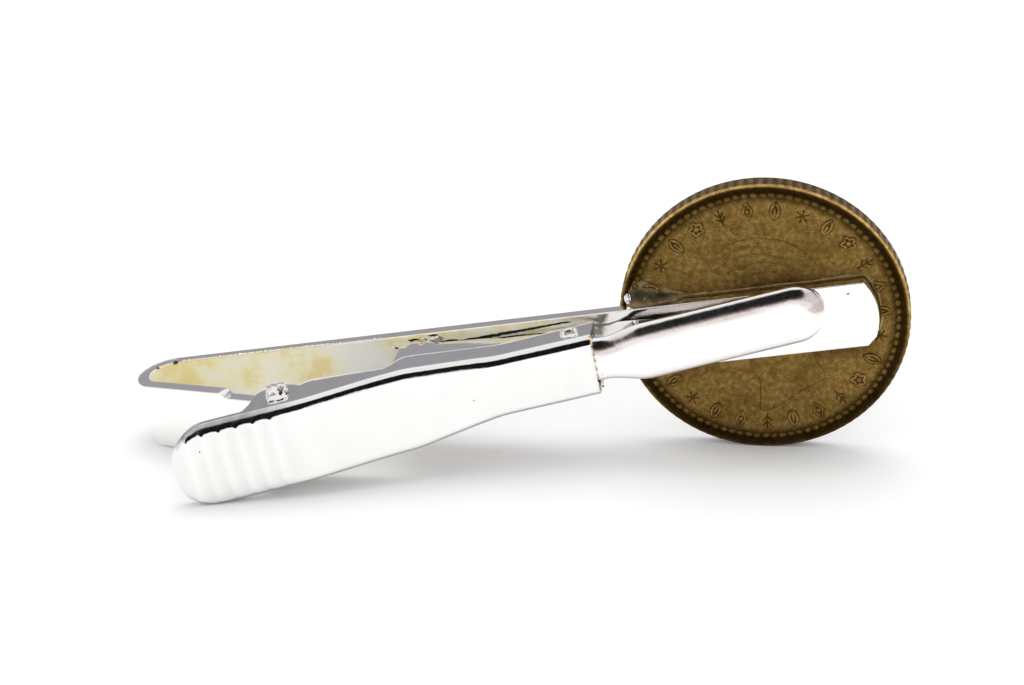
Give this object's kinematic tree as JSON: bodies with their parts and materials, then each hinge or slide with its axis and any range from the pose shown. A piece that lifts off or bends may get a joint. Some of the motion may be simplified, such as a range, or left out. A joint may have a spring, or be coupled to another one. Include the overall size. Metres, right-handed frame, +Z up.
{
  "type": "tie clip",
  "caption": "Tie clip with a reeded coin soldered to a folded metal bar, a ribbed spring lever on the bar's tongue and a pivoting spoon-ended jaw.",
  "frame": {"origin": "middle of the bounding box on the floor that the coin's rim, the bend's lower edge and the lever's tail stand on", "axes": "+X along the clip towards the coin, +Y away from the lever towards the coin's show side, +Z up"},
  "size_m": [0.0571, 0.0163, 0.021],
  "materials": {
    "coin_bronze": "aged aluminium bronze, dark in the fields and bright on the rim",
    "bright_plate": "bright plated pressed sheet",
    "solder": "smooth soft solder",
    "rivet_steel": "peened bright steel",
    "spring_steel": "plain spring strip"
  },
  "bodies": {
    "front": {"front_bar": "bright_plate", "coin": "coin_bronze", "solder_seam": "solder"},
    "lever": {"lever": "bright_plate", "rear_rivet": "rivet_steel", "front_rivet": "rivet_steel", "leaf_spring": "spring_steel"},
    "jaw": {"clamp_jaw": "bright_plate"}
  },
  "joints": [
    {"name": "lever_hinge", "type": "hinge", "parent": "front", "child": "lever", "pos_m": [-0.01535, -0.00357, 0.0041], "axis": [0.1656, 0.0658, -0.984], "range_deg": [0, 25], "stiffness_Nm_per_rad": 0.06, "springref_deg": -34.38, "deforming": ["leaf_spring"]},
    {"name": "jaw_pivot", "type": "hinge", "parent": "lever", "child": "jaw", "pos_m": [0.00467, 0.00259, 0.00788], "axis": [0.1656, 0.0658, -0.984], "range_deg": [0, 5]}
  ],
  "couplings": [
    {"joint": "jaw_pivot", "follows": "lever_hinge", "ratio": 0.2}
  ]
}
